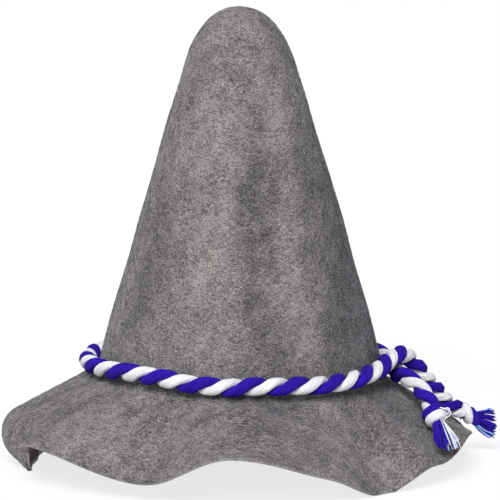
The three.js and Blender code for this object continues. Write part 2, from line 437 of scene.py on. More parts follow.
BLUE_SURFACE = Surface(0.9, 0.06, 0.0002, sheen=0.02)
YARN_FINISHES: dict[Yarn, YarnFinish] = {
    Yarn.BLUE: YarnFinish("blue_yarn", (0.030, 0.009, 0.360), (0.016, 0.005, 0.200), BLUE_SURFACE),
    Yarn.WHITE: YarnFinish("white_yarn", (0.800, 0.800, 0.825), (0.560, 0.560, 0.610)),
    Yarn.PALE: YarnFinish("pale_blue_yarn", (0.330, 0.520, 0.800), (0.200, 0.360, 0.680)),
}


@cache
def yarn_materials() -> tuple[bpy.types.Material, ...]:
    """The yarns' materials in the order of the enumeration, made once."""
    return tuple(YARN_FINISHES[yarn].material() for yarn in Yarn)


def linked(name: str, data: bpy.types.ID) -> bpy.types.Object:
    """Puts data into the scene.

    Args:
        name: The object's name.
        data: A mesh, a lamp or a camera.

    Returns:
        The new object, at the origin.
    """
    made = bpy.data.objects.new(name, data)
    bpy.context.scene.collection.objects.link(made)
    return made


def smooth_between(share: float, start: Value, leave: Value, stop: Value, arrive: Value) -> Value:
    """A value on the smooth curve between two stops.

    Args:
        share: The share of the way from the first stop to the second.
        start: The first stop's value.
        leave: The rate there, over the whole way.
        stop: The second stop's value.
        arrive: The rate there.

    Returns:
        The value at that share.
    """
    square, cube = share**2, share**3
    return (
        start * (2 * cube - 3 * square + 1)
        + leave * (cube - 2 * square + share)
        + stop * (3 * square - 2 * cube)
        + arrive * (cube - square)
    )


def ridge_at(angle: float, threads: int, depth: float) -> float:
    """How far the threads of a strand stand out of its plain form at an angle round it."""
    return depth * (abs(math.cos(angle * threads / 2)) - RIDGE_MIDDLE)


@dataclass(frozen=True)
class BrimRow:
    """The brim at one azimuth: its fall, its straight run, its tail, and the bend between them."""

    azimuth: float
    slope: float
    straight: float
    tail: float
    bend: float = 0.014
    turn: float = 0.0


@dataclass(frozen=True)
class Stretch:
    """One straight or round stretch of the felt's section; the heading is the fall below level."""

    radius: float
    height: float
    heading: float
    length: float
    turn: float

    def at(self, share: float) -> tuple[float, float, float]:
        """A place on the stretch.

        Args:
            share: The share of its length.

        Returns:
            The radius, the height and the heading there.
        """
        bent = self.heading + self.turn * share
        if abs(self.turn) < STRAIGHT_TURN:
            run = self.length * share
            return self.radius + run * math.cos(bent), self.height - run * math.sin(bent), bent
        curve = self.length / self.turn
        radius = self.radius + curve * (math.sin(bent) - math.sin(self.heading))
        height = self.height + curve * (math.cos(bent) - math.cos(self.heading))
        return radius, height, bent


BRIM = (
    BrimRow(5, 35, 0.040, 0.013),
    BrimRow(26, 34, 0.041, 0.013),
    BrimRow(50, 56, 0.045, 0.016),
    BrimRow(76, 30, 0.044, 0.014),
    BrimRow(104, 57, 0.046, 0.018),
    BrimRow(134, 31, 0.046, 0.014),
    BrimRow(160, 38, 0.052, 0.018, 0.026, 76),
    BrimRow(176, 28, 0.059, 0.030, 0.030, 115),
    BrimRow(189, 29, 0.058, 0.021, 0.030, 106),
    BrimRow(200, 28, 0.045, 0.007, 0.024, 62),
    BrimRow(211, 26, 0.048, 0.0155),
    BrimRow(223, 27, 0.045, 0.016),
    BrimRow(246, 42, 0.045, 0.014),
    BrimRow(267, 19, 0.044, 0.014),
    BrimRow(291, 33, 0.044, 0.014),
    BrimRow(311, 52, 0.044, 0.017),
    BrimRow(322, 37, 0.043, 0.013),
    BrimRow(332, 36, 0.041, 0.014),
    BrimRow(346, 28, 0.039, 0.0105),
)


@dataclass(frozen=True)
class SoftSpot:
    """A soft spot on the crown: its middle, its reach both ways in degrees and in height, and its amount."""

    azimuth: float
    height: float
    wide: float
    tall: float
    amount: float

    def at(self, azimuth: float, height: float) -> float:
        """How much of it there is at one place, fading out towards its rim.

        Args:
            azimuth: Degrees round the crown.
            height: The height above the sections' plane.

        Returns:
            The amount there.
        """
        across = ((azimuth - self.azimuth + 180) % 360 - 180) / self.wide
        up = (height - self.height) / self.tall
        return self.amount * max(1 - across**2, 0.0) ** 2 * max(1 - up**2, 0.0) ** 2


DENTS = (
    SoftSpot(283, 0.140, 24, 0.110, 0.0030),
    SoftSpot(180, 0.255, 60, 0.045, 0.0007),
    SoftSpot(0, 0.272, 60, 0.028, 0.0007),
    SoftSpot(0, 0.160, 60, 0.090, -0.0006),
)

# Tone spots on the crown: partly the felt's uneven dye, partly painted shade and painted light. They give
# darker flanks, a darker lower crown and fold valley, paler lit bands and a paler tip.
DYES_AND_PAINTED_SHADE = (
    SoftSpot(279, 0.150, 20, 0.140, -0.17),
    SoftSpot(298, 0.185, 14, 0.100, 0.05),
    SoftSpot(252, 0.200, 26, 0.120, 0.09),
    SoftSpot(216, 0.150, 18, 0.130, -0.13),
    SoftSpot(333, 0.140, 34, 0.150, -0.30),
    SoftSpot(284, 0.215, 18, 0.050, -0.10),
    SoftSpot(288, 0.085, 42, 0.050, -0.12),
    SoftSpot(270, 0.310, 180, 0.050, 0.09),
)


def dye_and_painted_shade_at(azimuth: float, height: float) -> float:
    """How much paler, or darker below zero, the felt is at one place of the crown: partly its dye, partly
    painted shade and painted light.
    """
    return sum(dye_and_painted_shade.at(azimuth, height) for dye_and_painted_shade in DYES_AND_PAINTED_SHADE)


@dataclass
class FeltBody:
    """Crown and brim in one piece of blocked felt, hollow and open below."""

    wall: float = 0.0024
    height: float = 0.3122
    tip_radius: float = 0.0285
    tip_fall: float = math.radians(48)
    shoulder_radius: float = 0.074
    cone_fall: float = math.radians(74)
    break_height: float = 0.0665
    break_tilt: float = 0.004
    fillet_radius: float = 0.009
    floor_blend: float = 0.0008
    footing: float = 0.0048
    lip: float = 0.003
    columns: int = 360
    rows: tuple[int, ...] = (12, 10, 34, 6, 14, 10, 10, 5)
    crown_stretches: int = 3
    edge_round: float = 0.0006
    edge_segments: int = 3
    lump_scale: float = 24.0
    lump_depth: float = 0.0009
    lump_from: float = 0.012
    lump_rise: float = 0.030
    brim: tuple[BrimRow, ...] = BRIM
    dents: tuple[SoftSpot, ...] = DENTS
    # The inner face is painted paler, standing in for light that reaches inside the brim and its curls.
    inside_painted_light: float = 0.50
    finish: FeltFinish = field(default_factory=FeltFinish)

    def brim_at(self, name: str, azimuth: float) -> float:
        """One of the brim's values between its rows, on a smooth curve through them.

        Args:
            name: The column's name.
            azimuth: Degrees round the crown.

        Returns:
            The value there.
        """
        count = len(self.brim)
        stations = [row.azimuth for row in self.brim]
        at = azimuth % 360
        before = bisect.bisect_right(stations, at) - 1

        def place(index: int) -> float:
            """The azimuth of a row, counted on past the last one."""
            return stations[index % count] + 360 * (index // count)

        def value(index: int) -> float:
            """The value in that row."""
            return getattr(self.brim[index % count], name)

        def rate(index: int) -> float:
            """The value's change with the azimuth, from the rows beside it."""
            return (value(index + 1) - value(index - 1)) / (place(index + 1) - place(index - 1))

        gap = place(before + 1) - place(before)
        share = (at - place(before)) / gap
        leave, arrive = gap * rate(before), gap * rate(before + 1)
        return smooth_between(share, value(before), leave, value(before + 1), arrive)

    def section(self, azimuth: float) -> list[Stretch]:
        """The felt's section from the tip to the brim's edge.

        Args:
            azimuth: Degrees round the crown.

        Returns:
            Stretches that join smoothly.
        """
        slope = math.radians(self.brim_at("slope", azimuth))
        foot = self.break_height - self.break_tilt * math.cos(math.radians(azimuth))
        top, length = self.height - self.wall / 2, self.tip_radius * self.tip_fall
        made = [Stretch(0.0, top, 0.0, length, self.tip_fall)]

        def go_on(length: float, turn: float) -> None:
            """Adds a stretch where the last one ends."""
            radius, height, heading = made[-1].at(1.0)
            made.append(Stretch(radius, height, heading, length, turn))

        shoulder = self.cone_fall - self.tip_fall
        go_on(self.shoulder_radius * shoulder, shoulder)
        go_on((made[-1].at(1.0)[1] - foot) / math.sin(self.cone_fall), 0.0)
        go_on(self.fillet_radius * (self.cone_fall - slope), slope - self.cone_fall)
        go_on(self.brim_at("straight", azimuth), 0.0)
        go_on(self.brim_at("bend", azimuth), math.radians(self.brim_at("turn", azimuth)))
        _, height, heading = made[-1].at(1.0)
        reach = (height - FLOOR - self.wall / 2) / math.sin(heading)
        go_on(min(self.brim_at("tail", azimuth), reach + self.footing) - self.lip, 0.0)
        go_on(self.lip, 0.0)
        return made

    def rest_on_floor(self, height: float) -> float:
        """Eases the felt's middle layer so that its under side never sinks below the floor.

        Args:
            height: The layer's height in the plain section.

        Returns:
            The height that it rests at.
        """
        resting = FLOOR + self.wall / 2
        lift = height - resting
        if lift > self.floor_blend:
            return height
        return resting + max(lift + self.floor_blend, 0.0) ** 2 / (4 * self.floor_blend)

    def stations(self) -> list[tuple[int, float]]:
        """The stretch and the share of it at each row, from the tip to the edge."""
        made = [(index, step / count) for index, count in enumerate(self.rows) for step in range(count)]
        return [*made, (len(self.rows) - 1, 1.0)]

    def layers(self) -> tuple[np.ndarray, np.ndarray]:
        """Works out the felt's middle layer.

        Returns:
            Its points, by column and row, and the way out of the felt at each.
        """
        stations = self.stations()
        middle = np.zeros((self.columns, len(stations), 3))
        for column in range(self.columns):
            azimuth = 360 * column / self.columns
            section = self.section(azimuth)
            turn = math.radians(azimuth)
            for row, (index, share) in enumerate(stations):
                radius, height, _ = section[index].at(share)
                radius -= sum(dent.at(azimuth, height) for dent in self.dents)
                height = self.rest_on_floor(height)
                middle[column, row] = (radius * math.cos(turn), radius * math.sin(turn), height)
        outward = self.ways_out(middle)
        lumps = np.array([[self.lump(Vector(point)) for point in line] for line in middle])
        middle += outward * lumps[:, :, None]
        middle += np.array(CROWN_AXIS)
        return middle, outward

    @staticmethod
    def ways_out(middle: np.ndarray) -> np.ndarray:
        """Finds the way out of the felt from the points' neighbours.

        Args:
            middle: The middle layer's points, by column and row.

        Returns:
            A unit vector for each point.
        """
        down = np.gradient(middle, axis=1)
        along = np.roll(middle, -1, axis=0) - np.roll(middle, 1, axis=0)
        outward = np.cross(down, along)
        outward[:, 0] = UPWARD
        return outward / np.linalg.norm(outward, axis=2, keepdims=True)

    def lump(self, point: Vector) -> float:
        """How far the hand-blocked felt stands out of its plain form at a point."""
        clear = min(max((point.z - self.lump_from) / self.lump_rise, 0.0), 1.0)
        return self.lump_depth * clear * noise.noise(point * self.lump_scale)

    def build(self, middle: np.ndarray, outward: np.ndarray) -> bpy.types.Object:
        """Spins a flat blank of felt and blocks it to the hat's form.

        Args:
            middle: The middle layer's points, by column and row.
            outward: The way out of the felt at each.

        Returns:
            The felt as one object.
        """
        last = middle.shape[1] - 1
        blank = bmesh.new()
        profile = [blank.verts.new((row, 0, 1)) for row in range(last + 1)]
        profile += [blank.verts.new((row, 0, -1)) for row in range(last, -1, -1)]
        edges = [blank.edges.new(pair) for pair in zip(profile, profile[1:])]
        bmesh.ops.spin(
            blank,
            geom=[*profile, *edges],
            cent=(0, 0, 0),
            axis=(0, 0, 1),
            angle=FULL_TURN,
            steps=self.columns,
            use_merge=True,
        )
        bmesh.ops.remove_doubles(blank, verts=blank.verts, dist=BLANK_GAP)
        shade = blank.verts.layers.float.new(SHADE)
        rim: dict[bmesh.types.BMVert, float] = {}
        for vertex in blank.verts:
            row = round(math.hypot(vertex.co.x, vertex.co.y))
            column = round(math.atan2(vertex.co.y, vertex.co.x) / FULL_TURN * self.columns) % self.columns
            side = self.wall / 2 * vertex.co.z
            vertex.co = middle[column, row] + outward[column, row] * side
            vertex[shade] = dye_and_painted_shade_at(360 * column / self.columns, vertex.co.z + FLOOR)
            # The inner face takes painted light in place of the dye.
            if side < 0:
                vertex[shade] = self.inside_painted_light
            if row == last:
                rim[vertex] = side
        sides = [{rim.get(vertex) for vertex in edge.verts} for edge in blank.edges]
        edges = [edge for edge, found in zip(blank.edges, sides) if len(found) == 1 and None not in found]
        bmesh.ops.bevel(
            blank,
            geom=edges,
            offset=self.edge_round,
            affect="EDGES",
            segments=self.edge_segments,
            profile=0.5,
            material=-1,
        )
        for vertex in blank.verts:
            vertex.co.z = max(vertex.co.z, 0.0)
        bmesh.ops.recalc_face_normals(blank, faces=blank.faces)
        return finished(blank, "felt_hat_body", [self.finish.material()])

    def dress(self) -> list[bpy.types.Object]:
        """Builds the felt and its loose fibres and puts them in the place of the solid.

        Returns:
            The three pieces.
        """
        middle, outward = self.layers()
        face = middle + outward * (self.wall / 2)
        foot = sum(self.rows[: self.crown_stretches])
        pieces = [self.build(middle, outward)]
        for fibres, part in ((CROWN_FIBRES, slice(foot + 1)), (BRIM_FIBRES, slice(foot, None))):
            pieces.append(fibres.build(face[:, part], outward[:, part]))
        return [fitted(piece, "grey_felt", "felt_body") for piece in pieces]


@dataclass(frozen=True)
class LooseFibres:
    """Single wool fibres lying on the felt, each a thin three-sided spindle."""

    name: str
    count: int
    seed: int
    half_wide: float = 0.00011
    lift: float = 0.00003
    shortest: float = 0.002
    longest: float = 0.0065
    steps: int = 3
    lean: float = 0.75
    bend: float = 45.0
    crest: float = 1.4
    # Where dye and painted shade fall below this, pale fibres become violet ones, so that they follow the
    # painted shade.
    dark_dye_and_shade: float = -0.08
    least_cell: float = 2e-4
    row_margin: float = 1.01
    finishes: tuple[FibreFinish, ...] = FIBRES

    @staticmethod
    def between(grid: np.ndarray, column: np.ndarray, row: np.ndarray) -> np.ndarray:
        """Values of a grid between its columns, which go round, and its rows.

        Args:
            grid: Values by column and row.
            column: Places along the columns.
            row: Places along the rows.

        Returns:
            The values there.
        """
        left = np.floor(column).astype(int)
        above = np.clip(np.floor(row).astype(int), 0, grid.shape[1] - 2)
        over, down = (column - left)[:, None], (row - above)[:, None]
        left, right = left % grid.shape[0], (left + 1) % grid.shape[0]
        upper = grid[left, above] * (1 - over) + grid[right, above] * over
        lower = grid[left, above + 1] * (1 - over) + grid[right, above + 1] * over
        return upper * (1 - down) + lower * down

    def lines(self, surface: np.ndarray, outward: np.ndarray) -> tuple[np.ndarray, np.ndarray]:
        """Lays the fibres on the surface, each from a chance place and in a chance direction.

        Args:
            surface: The felt's outer face, by column and row.
            outward: The way out of it.

        Returns:
            The fibres' points, by fibre and step, and the way out at each.
        """
        dice = np.random.default_rng(self.seed)
        along = np.roll(surface, -1, axis=0) - surface
        down = np.diff(surface, axis=1)
        area = np.linalg.norm(np.cross(along[:, :-1], down), axis=2)
        cells = dice.choice(area.size, self.count, p=(area / area.sum()).ravel())
        column = cells // area.shape[1] + dice.random(self.count)
        row = cells % area.shape[1] + dice.random(self.count)
        heading = dice.normal(0.0, self.lean, self.count)
        turn = dice.normal(0.0, self.bend, self.count)
        step = dice.uniform(self.shortest, self.longest, self.count) / self.steps
        points, ways = [], []
        for _ in range(self.steps + 1):
            points.append(self.between(surface, column, row))
            ways.append(self.between(outward, column, row))
            across = self.between(along, column, row)
            fall = self.between(down, column, row.clip(0, down.shape[1] - self.row_margin))
            across, fall = (np.linalg.norm(way, axis=1).clip(self.least_cell) for way in (across, fall))
            column = column + step * np.cos(heading) / across
            row = (row + step * np.sin(heading) / fall).clip(0, surface.shape[1] - 1)
            heading = heading + turn * step
        return np.stack(points, axis=1), np.stack(ways, axis=1)

    def kinds(self, starts: np.ndarray) -> np.ndarray:
        """Draws the fibres' kinds; where the felt's dye and painted shade are dark, the last kind takes the
        place of the first.

        Args:
            starts: The fibres' first points.

        Returns:
            The place of each fibre's finish.
        """
        shares = [finish.share for finish in self.finishes]
        drawn = np.random.default_rng(self.seed + 1).choice(len(shares), self.count, p=shares)
        dyes_and_shade = [dye_and_painted_shade_at(math.degrees(math.atan2(y, x)), z) for x, y, z in starts - np.array(CROWN_AXIS)]
        drawn[(drawn == 0) & (np.array(dyes_and_shade) < self.dark_dye_and_shade)] = len(shares) - 1
        return drawn

    def spindle_faces(self) -> list[tuple[int, ...]]:
        """The faces of one closed spindle.

        Returns:
            The corners of each, by their places in the spindle.
        """
        sides = SPINDLE_SIDES
        tip = sides * (self.steps - 1) + 1
        faces: list[tuple[int, ...]] = []
        for edge in range(sides):
            after = (edge + 1) % sides
            faces.append((0, 1 + after, 1 + edge))
            for low in range(1, tip - sides, sides):
                faces.append((low + edge, low + after, low + sides + after, low + sides + edge))
            faces.append((tip, tip - sides + edge, tip - sides + after))
        return faces

    def build(self, surface: np.ndarray, outward: np.ndarray) -> bpy.types.Object:
        """Makes all the fibres as one mesh of closed spindles.

        Args:
            surface: The felt's outer face, by column and row.
            outward: The way out of it.

        Returns:
            The fibres as one object.
        """
        points, ways = self.lines(surface, outward)
        side = np.cross(ways, np.gradient(points, axis=1))
        side = side / np.linalg.norm(side, axis=2, keepdims=True).clip(TINY)
        points = points + ways * self.lift
        inner, over, across = points[:, 1:-1], ways[:, 1:-1] * self.half_wide, side[:, 1:-1] * self.half_wide
        rings = np.stack((inner - across, inner + across, inner + over * self.crest), axis=2)
        corners = np.concatenate((points[:, :1], rings.reshape(self.count, -1, 3), points[:, -1:]), axis=1)
        corners[:, :, 2] = corners[:, :, 2].clip(0.0)
        size = corners.shape[1]
        faces = self.spindle_faces()
        placed = [tuple(size * fibre + at for at in face) for fibre in range(self.count) for face in faces]
        mesh = bpy.data.meshes.new(self.name)
        mesh.from_pydata(corners.reshape(-1, 3).tolist(), [], placed)
        kinds = np.repeat(self.kinds(points[:, 0]), len(faces))
        mesh.polygons.foreach_set("material_index", kinds.astype(np.int32))
        for finish in self.finishes:
            mesh.materials.append(finish.material())
        return linked(self.name, mesh)


CROWN_FIBRES = LooseFibres("crown_loose_fibres", 15000, 21)
BRIM_FIBRES = LooseFibres("brim_loose_fibres", 10800, 33)


def finished(
    shape: bmesh.types.BMesh, name: str, materials: Sequence[bpy.types.Material]
) -> bpy.types.Object:
    """Turns a bmesh into a smooth-shaded object at the origin.

    Args:
        shape: The bmesh, which is freed.
        name: The piece's name.
        materials: The finishes of its faces, by their index.

    Returns:
        The new object.
    """
    mesh = bpy.data.meshes.new(name)
    for face in shape.faces:
        face.smooth = True
    shape.to_mesh(mesh)
    shape.free()
    for material in materials:
        mesh.materials.append(material)
    return linked(name, mesh)


def fitted(piece: bpy.types.Object, slot: str, *nodes: str) -> bpy.types.Object:
    """Makes a piece ride on the hat and hides the solids that it stands for.

    Args:
        piece: The finished piece.
        slot: The record's material slot; not used.
        *nodes: The solids that it replaces.

    Returns:
        The same piece.
    """
    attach(piece, BODY)
    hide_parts(*nodes)
    return piece


@dataclass(frozen=True)
class RoutePoint:
    """A point of the cord's route round the crown's axis: degrees, radius and height."""

    azimuth: float
    radius: float
    height: float

    def place(self) -> Vector:
        """The point in the hat's frame."""
        turn = math.radians(self.azimuth)
        return CROWN_AXIS + Vector((self.radius * math.cos(turn), self.radius * math.sin(turn), self.height))


@dataclass(frozen=True)
class CordEnd:
    """A free end of the cord: its knot, its tassel's tip and wide way, and the fan's half sizes and slant."""

    name: str
    knot: Vector
    tip: Vector
    wide_way: Vector
    wide: float
    deep: float
    slant: float


NEAR_END = CordEnd(
    "near",
    CROWN_AXIS + Vector((0.1294, -0.0596, 0.0452)),
    CROWN_AXIS + Vector((0.1383, -0.0820, 0.0276)),
    Vector((0.73, 0.64, -0.05)),
    0.0100,
    0.0022,
    0.0,
)
FAR_END = CordEnd(
    "far",
    CROWN_AXIS + Vector((0.1566, 0.0280, 0.0298)),
    CROWN_AXIS + Vector((0.1752, 0.0338, 0.0216)),
    Vector((-0.2, 0.0, 0.98)),
    0.0095,
    0.003,
    0.28,
)

CORD_ROUTE = (
    RoutePoint(-22.9, 0.1362, 0.0532),
    RoutePoint(-20.2, 0.1282, 0.0603),
    RoutePoint(-15.4, 0.1170, 0.0648),
    RoutePoint(-6.0, 0.1078, 0.0646),
    RoutePoint(3.0, 0.1048, 0.0653),
    RoutePoint(13.0, 0.1040, 0.0684),
    RoutePoint(25.0, 0.1033, 0.0705),
    RoutePoint(40.0, 0.1032, 0.0720),
    RoutePoint(60.0, 0.1031, 0.0730),
    RoutePoint(85.0, 0.1030, 0.0738),
    RoutePoint(110.0, 0.1030, 0.0736),
    RoutePoint(135.0, 0.1031, 0.0730),
    RoutePoint(160.0, 0.1031, 0.0728),
    RoutePoint(180.0, 0.1029, 0.0730),
    RoutePoint(194.0, 0.1026, 0.0738),
    RoutePoint(208.0, 0.1024, 0.0746),
    RoutePoint(224.0, 0.1020, 0.0760),
    RoutePoint(239.0, 0.1021, 0.0754),
    RoutePoint(252.0, 0.1028, 0.0729),
    RoutePoint(264.0, 0.1032, 0.0716),
    RoutePoint(275.0, 0.1030, 0.0721),
    RoutePoint(287.0, 0.1032, 0.0717),
    RoutePoint(300.0, 0.1034, 0.0709),
    RoutePoint(311.0, 0.1034, 0.0708),
    RoutePoint(323.0, 0.1031, 0.0720),
    RoutePoint(335.5, 0.1026, 0.0737),
    RoutePoint(343.0, 0.1023, 0.0752),
    RoutePoint(350.5, 0.1040, 0.0768),
    RoutePoint(356.0, 0.1073, 0.0770),
    RoutePoint(360.7, 0.1115, 0.0754),
    RoutePoint(363.9, 0.1165, 0.0711),
    RoutePoint(366.3, 0.1228, 0.0630),
    RoutePoint(368.0, 0.1312, 0.0532),
    RoutePoint(369.0, 0.1380, 0.0448),
    RoutePoint(369.6, 0.1446, 0.0380),
    RoutePoint(369.9, 0.1489, 0.0349),
)


class Path:
    """A smooth curve through points, with a frame at each small step that doesn't turn about it."""

    def __init__(self, points: Sequence[Vector], step: float) -> None:
        """Walks the curve.

        Args:
            points: The points that it passes through.
            step: The length of a step along it.
        """
        fine = np.array(list(self._curve(points)))
        lengths = np.concatenate([[0.0], np.cumsum(np.linalg.norm(np.diff(fine, axis=0), axis=1))])
        self.length = float(lengths[-1])
        self.distances = np.linspace(0.0, self.length, max(2, round(self.length / step) + 1))
        self.points = np.stack([np.interp(self.distances, lengths, fine[:, k]) for k in range(3)], axis=1)
        ahead = np.gradient(self.points, axis=0)
        self.ahead = ahead / np.linalg.norm(ahead, axis=1, keepdims=True)
        self.side = self._carry(self.ahead)
        self.up = np.cross(self.ahead, self.side)

    @staticmethod
    def _curve(points: Sequence[Vector], steps: int = 60) -> Iterator[Vector]:
        """Walks the centripetal curve through the given points.

        Args:
            points: The points that it passes through.
            steps: Steps from each of them to the next.

        Yields:
            A point of the curve.
        """
        ends = [points[0] * 2 - points[1], *points, points[-1] * 2 - points[-2]]
        for first, start, stop, last in zip(ends, ends[1:], ends[2:], ends[3:]):
            pairs = ((first, start), (start, stop), (stop, last))
            before, here, after = (math.sqrt((there - place).length) for place, there in pairs)
            leave = (start - first) / before - (stop - first) / (before + here) + (stop - start) / here
            arrive = (stop - start) / here - (last - start) / (here + after) + (last - stop) / after
            leave, arrive = leave * here, arrive * here
            for share in np.arange(steps) / steps:
                yield smooth_between(share, start, leave, stop, arrive)
        yield points[-1]

    @staticmethod
    def _carry(ahead: np.ndarray) -> np.ndarray:
        """Carries a side vector along the curve without turning it about the curve.

        Args:
            ahead: The curve's direction at each step.

        Returns:
            The side vector at each step.
        """
        side = np.cross(UPWARD, ahead[0])
        made = [side / np.linalg.norm(side)]
        for way in ahead[1:]:
            side = made[-1] - way * np.dot(made[-1], way)
            made.append(side / np.linalg.norm(side))
        return np.array(made)


def tube_along(
    shape: bmesh.types.BMesh,
    rings: int,
    sides: int,
    place: Callable[[int, float], SurfacePoint],
    material: int,
    closed: bool = False,
) -> None:
    """Wraps a grid into a tube.

    Args:
        shape: The bmesh that takes the tube.
        rings: Rings of points along the tube.
        sides: Points round it.
        place: Gives a ring's point at a share of the way round, and its UV in metres.
        material: The index of the finish.
        closed: Whether the last ring joins the first.
    """
    coat = shape.loops.layers.uv.verify()
    made = bmesh.ops.create_grid(shape, x_segments=sides, y_segments=rings - 1, size=1.0)["verts"]
    at = {}
    for vertex in made:
        ring = round((vertex.co.y + 1) / 2 * (rings - 1))
        share = round((vertex.co.x + 1) / 2 * sides) / sides
        at[vertex] = place(ring, share)
    faces = {face for vertex in made for face in vertex.link_faces}
    for face in faces:
        face.material_index = material
        for loop in face.loops:
            loop[coat].uv = at[loop.vert][1]
    for vertex in made:
        vertex.co = at[vertex][0]
    bmesh.ops.remove_doubles(shape, verts=made, dist=WELD_GAP)
    if not closed:
        faces = [face for face in faces if face.is_valid]
        ends = {edge for face in faces for edge in face.edges if edge.is_boundary}
        bmesh.ops.holes_fill(shape, edges=list(ends), sides=0)
        for edge in ends:
            for face in edge.link_faces:
                face.material_index = material


@dataclass(frozen=True)
class Lay:
    """How tightly the strands are twisted up to a distance along the cord: the length of one turn."""

    until: float
    turn_length: float


LAYS = (
    Lay(0.025, 0.025),
    Lay(0.070, 0.045),
    Lay(0.410, 0.032),
    Lay(0.480, 0.036),
    Lay(0.745, 0.030),
    Lay(0.790, 0.020),
)


@dataclass
class TwistedCord:
    """One thick cord of two soft strands, twisted to the left, laid round the crown with two free ends."""

    diameter: float = 0.0118
    lays: tuple[Lay, ...] = LAYS
    first_turn: float = -1.6
    ease: float = 0.012
    helix_radius: float = 0.00282
    strand_deep: float = 0.00312
    strand_wide: float = 0.0043
    blue_bulk: float = 1.06
    white_bulk: float = 0.93
    threads: int = 14
    thread_depth: float = 0.00034
    uneven: float = 0.035
    uneven_scale: float = 45.0
    uneven_row: float = 7.0
    uneven_level: float = 0.5
    sides: int = 70
    step: float = 0.0011
    end_reach: float = 0.0030
    stated_length: float = 0.781
    route: tuple[RoutePoint, ...] = CORD_ROUTE
    ends: tuple[CordEnd, CordEnd] = (NEAR_END, FAR_END)

    def path(self) -> Path:
        """The cord's centreline.

        Returns:
            The path from the near knot to the far one.
        """
        inner = [point.place() for point in self.route]
        stops = []
        for end, beside in zip(self.ends, (inner[0], inner[-1])):
            stops.append(end.knot - (end.knot - beside).normalized() * self.end_reach)
        return Path([stops[0], *inner, stops[1]], self.step)

    def turns(self, path: Path) -> np.ndarray:
        """Counts the strands' turns, eased so that the lay never changes at once.

        Args:
            path: The cord's centreline.

        Returns:
            The turns at each of its steps.
        """
        reach = max(1, round(self.ease / self.step))
        far = np.concatenate([path.distances[0] - self.step * np.arange(reach, 0, -1), path.distances])
        far = np.concatenate([far, path.distances[-1] + self.step * np.arange(1, reach + 1)])
        marks = [(0.0, self.first_turn)]
        for lay in self.lays:
            begun, turned = marks[-1]
            marks.append((lay.until, turned + (lay.until - begun) / lay.turn_length))
        rows = np.array(marks)
        made = np.interp(far, rows[:, 0], rows[:, 1])
        for at, (low, high) in ((far < rows[0, 0], rows[:2]), (far > rows[-1, 0], rows[-2:])):
            made[at] = low[1] + (far[at] - low[0]) * (high[1] - low[1]) / (high[0] - low[0])
        window = np.hanning(2 * reach + 1)
        return np.convolve(made, window / window.sum(), mode="valid")

    def strand_point(self, path: Path, turned: float, strand: Yarn, ring: int, share: float) -> SurfacePoint:
        """A point of one strand's surface.

        Args:
            path: The cord's centreline.
            turned: The strands' turns at that step.
            strand: Which strand.
            ring: The step along the path.
            share: The share of the way round the strand.

        Returns:
            The point, and its UV in metres along and round the strand.
        """
        distance = float(path.distances[ring])
        turn = math.pi * strand.value - FULL_TURN * turned
        side, up = path.side[ring], path.up[ring]
        outward = side * math.cos(turn) + up * math.sin(turn)
        across = up * math.cos(turn) - side * math.sin(turn)
        angle = FULL_TURN * share
        ridge = ridge_at(angle, self.threads, self.thread_depth)
        plump = self.blue_bulk if strand is Yarn.BLUE else self.white_bulk
        spot = Vector((distance * self.uneven_scale, strand.value * self.uneven_row, self.uneven_level))
        plump += self.uneven * noise.noise(spot)
        deep = self.helix_radius + (self.strand_deep * plump + ridge) * math.cos(angle)
        wide = (self.strand_wide * plump + ridge) * math.sin(angle)
        point = path.points[ring] + outward * deep + across * wide
        girth = math.pi * (self.strand_deep + self.strand_wide)
        return Vector(point), (distance, share * girth)

    def build(self, path: Path) -> bpy.types.Object:
        """Makes the two strands as one mesh.

        Args:
            path: The cord's centreline.

        Returns:
            The strands as one object.
        """
        shape = bmesh.new()
        turns = self.turns(path)
        for strand in (Yarn.BLUE, Yarn.WHITE):

            def place(ring: int, share: float) -> SurfacePoint:
                """A point of this strand."""
                return self.strand_point(path, turns[ring], strand, ring, share)

            tube_along(shape, len(path.distances), self.sides, place, strand.value)
        bmesh.ops.recalc_face_normals(shape, faces=shape.faces)
        return finished(shape, "twisted_cord", yarn_materials())

    def dress(self, on_it: Sequence[bpy.types.Object]) -> bpy.types.Object:
        """Args:
            on_it: The knots and tassels at its ends; not used.

        Returns:
            The cord.
        """
        path = self.path()
        piece = fitted(self.build(path), "cord_yarn", "cord")
        tuple(path.points[0])
        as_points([tuple(point) for point in path.points[::3]] + [tuple(path.points[-1])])
        LOG.info("cord: %.4f m along its middle", path.length)
        return piece


@dataclass(frozen=True)
class Wrap:
    """One turn of strand round a knot: its place along the knot, its size, its lean and its yarn."""

    along: float
    radius: float
    half_width: float
    half_thick: float
    lean: float
    lean_way: float
    yarn: Yarn


NEAR_WRAPS = (
    Wrap(-0.0022, 0.0050, 0.0034, 0.0036, math.radians(2), math.radians(90), Yarn.BLUE),
    Wrap(0.0017, 0.0045, 0.0039, 0.0034, math.radians(11), math.radians(90), Yarn.WHITE),
)
FAR_WRAPS = (
    Wrap(-0.0012, 0.0044, 0.0031, 0.0032, math.radians(-42), 0.0, Yarn.WHITE),
    Wrap(0.0040, 0.0040, 0.0028, 0.0030, math.radians(-48), 0.0, Yarn.BLUE),
)


